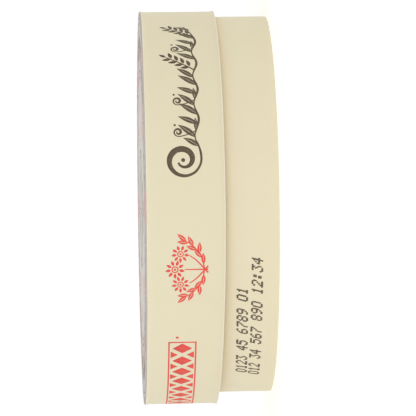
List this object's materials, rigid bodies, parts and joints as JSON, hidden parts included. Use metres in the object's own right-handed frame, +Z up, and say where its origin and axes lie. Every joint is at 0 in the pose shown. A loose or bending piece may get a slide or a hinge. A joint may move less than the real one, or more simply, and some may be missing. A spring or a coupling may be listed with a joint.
{
  "type": "boxed camembert",
  "caption": "Round soft cheese in waxed paper, inside a closed round paperboard box whose wider lid slips over the base and carries a paper label.",
  "frame": {"origin": "middle of the underside, below the centre of the lid", "axes": "+Z up through the lid, -Y the printed front of the hoops, +Y the side where the hoops' ends are lapped and glued"},
  "size_m": [0.1156, 0.1165, 0.0369],
  "materials": {
    "hoop_board": "matte",
    "disc_board": "matte",
    "label_paper": "satin",
    "waxed_paper": "satin",
    "rind": "matte"
  },
  "bodies": {
    "root": {"cheese_wheel": "rind", "wrapper": "waxed_paper", "base_band": "hoop_board", "base_disc": "disc_board", "base_label": "label_paper", "lid_band": "hoop_board", "lid_disc": "disc_board", "lid_label": "label_paper"}
  },
  "joints": []
}
